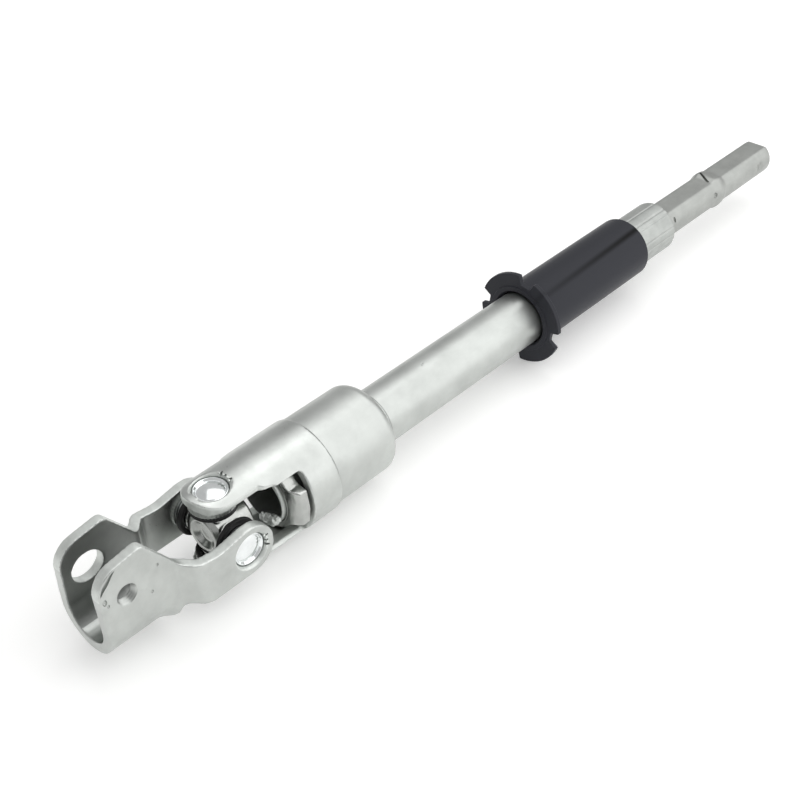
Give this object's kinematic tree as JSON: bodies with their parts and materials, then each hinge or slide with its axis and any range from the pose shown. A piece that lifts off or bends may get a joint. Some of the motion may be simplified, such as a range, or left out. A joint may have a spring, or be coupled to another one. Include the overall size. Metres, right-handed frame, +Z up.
{
  "type": "steering_column",
  "caption": "Lower steering shaft: clamp yoke, needle-bearing universal joint, rubber-damped tubular yoke, and a tube that telescopes on a double-D bar.",
  "frame": {"origin": "centre of the slider bar's end face, the end that goes into the steering column's upper shaft", "axes": "+X runs along the shaft out of the bar's end, +Z is up across the bar's flats and along the damper yoke's bearing bores, and +Y completes the right-handed frame, along the clamp yoke's bearing bores"},
  "size_m": [0.4773, 0.0478, 0.0538],
  "materials": {
    "zinc_pressing": "pressed steel, bright zinc plated",
    "zinc_tube": "drawn steel tube, bright zinc plated",
    "bar_steel": "drawn steel bar, zinc plated",
    "forged_steel": "forged and machined steel, plated",
    "bearing_steel": "hardened and polished bearing steel",
    "black_plastic": "moulded black plastic",
    "liner_plastic": "moulded acetal",
    "black_rubber": "moulded rubber"
  },
  "bodies": {
    "bar": {"slider_bar": "bar_steel"},
    "shaft": {"shaft_tube": "zinc_tube", "slide_liner": "liner_plastic", "stop_plate": "forged_steel", "hub_sleeve": "forged_steel"},
    "bearing": {"bearing_sleeve": "black_plastic"},
    "damper": {"damper_yoke": "zinc_pressing", "damper_sleeve": "zinc_tube", "damper_rubber": "black_rubber", "bearing_cup_top": "bearing_steel", "bearing_cup_bottom": "bearing_steel", "needle_set_top": "bearing_steel", "needle_set_bottom": "bearing_steel", "thrust_pad_top": "liner_plastic", "thrust_pad_bottom": "liner_plastic"},
    "cross": {"spider": "forged_steel", "trunnion_seal_top": "black_rubber", "trunnion_seal_bottom": "black_rubber", "trunnion_seal_right": "black_rubber", "trunnion_seal_left": "black_rubber"},
    "clamp": {"clamp_yoke": "zinc_pressing", "bearing_cup_right": "bearing_steel", "bearing_cup_left": "bearing_steel", "needle_set_right": "bearing_steel", "needle_set_left": "bearing_steel", "thrust_pad_right": "liner_plastic", "thrust_pad_left": "liner_plastic"}
  },
  "joints": [
    {"name": "telescope", "type": "slide", "parent": "bar", "child": "shaft", "axis": [1, 0, 0], "range_m": [-0.01, 0.04]},
    {"name": "bearing_turn", "type": "hinge", "parent": "shaft", "child": "bearing", "pos_m": [-0.1745, 0, 0], "axis": [1, 0, 0], "continuous": true},
    {"name": "damper_twist", "type": "hinge", "parent": "shaft", "child": "damper", "pos_m": [-0.3445, 0, 0], "axis": [1, 0, 0], "range_deg": [-5, 5], "stiffness_Nm_per_rad": 20},
    {"name": "joint_swing_z", "type": "hinge", "parent": "damper", "child": "cross", "pos_m": [-0.4115, 0, 0], "axis": [0, 0, 1], "range_deg": [-30, 30]},
    {"name": "joint_swing_y", "type": "hinge", "parent": "cross", "child": "clamp", "pos_m": [-0.4115, 0, 0], "axis": [0, 1, 0], "range_deg": [-30, 30]}
  ]
}
